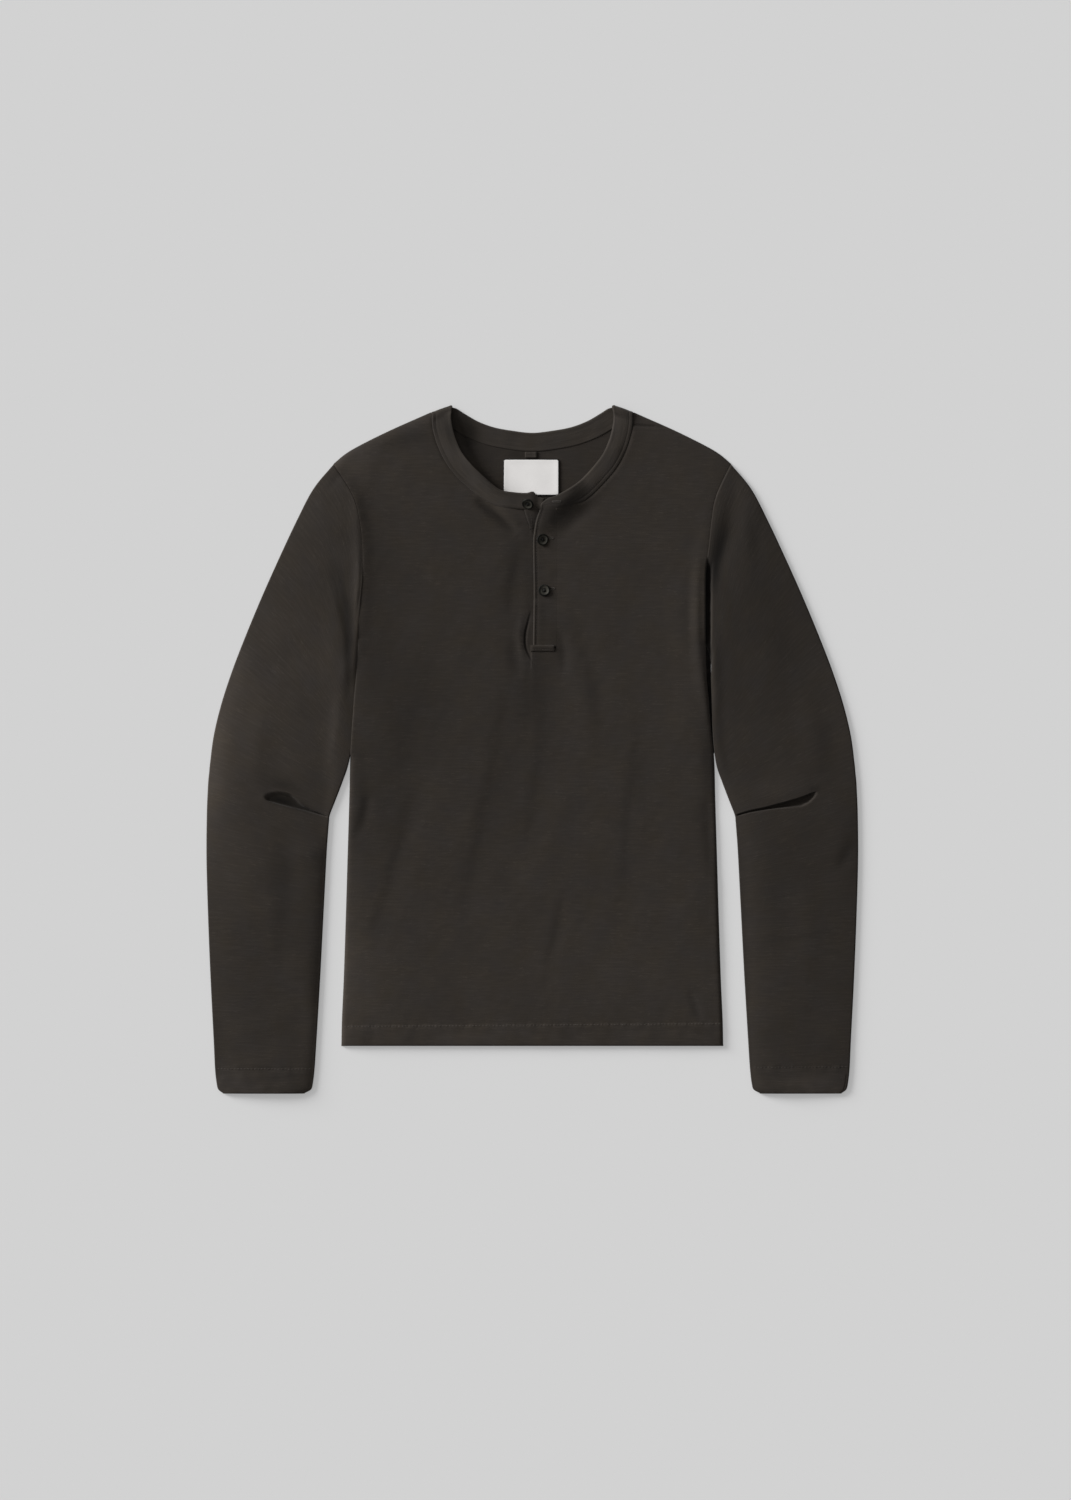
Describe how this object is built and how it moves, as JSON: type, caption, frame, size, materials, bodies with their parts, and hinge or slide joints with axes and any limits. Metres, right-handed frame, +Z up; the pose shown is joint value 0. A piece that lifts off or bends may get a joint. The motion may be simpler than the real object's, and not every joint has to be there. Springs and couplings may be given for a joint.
{
  "type": "henley shirt",
  "caption": "Long-sleeved henley shirt laid flat, with a round neckband, a short buttoned placket left open at the top, a blank neck label, and turned hem and cuffs.",
  "frame": {"origin": "under the middle of the shirt's bounding box, on the surface that it lies on", "axes": "+Y from the hem towards the collar, +Z up out of the surface, +X to the right when looking down with the collar at the top"},
  "size_m": [0.6194, 0.6535, 0.0113],
  "materials": {
    "jersey": "matte slub cotton jersey, dark olive brown",
    "neckband": "the same jersey, doubled",
    "placket": "the same jersey, doubled",
    "label": "white woven satin, blank",
    "button": "dark brown resin, satin"
  },
  "bodies": {
    "root": {"back": "jersey", "front": "jersey", "sleeve_left": "jersey", "sleeve_right": "jersey", "neckband": "neckband", "placket_overlap": "placket", "placket_underlap": "placket", "placket_tack": "placket", "label": "label", "neck_loop": "neckband", "button_top": "button", "button_middle": "button", "button_bottom": "button"}
  },
  "joints": []
}
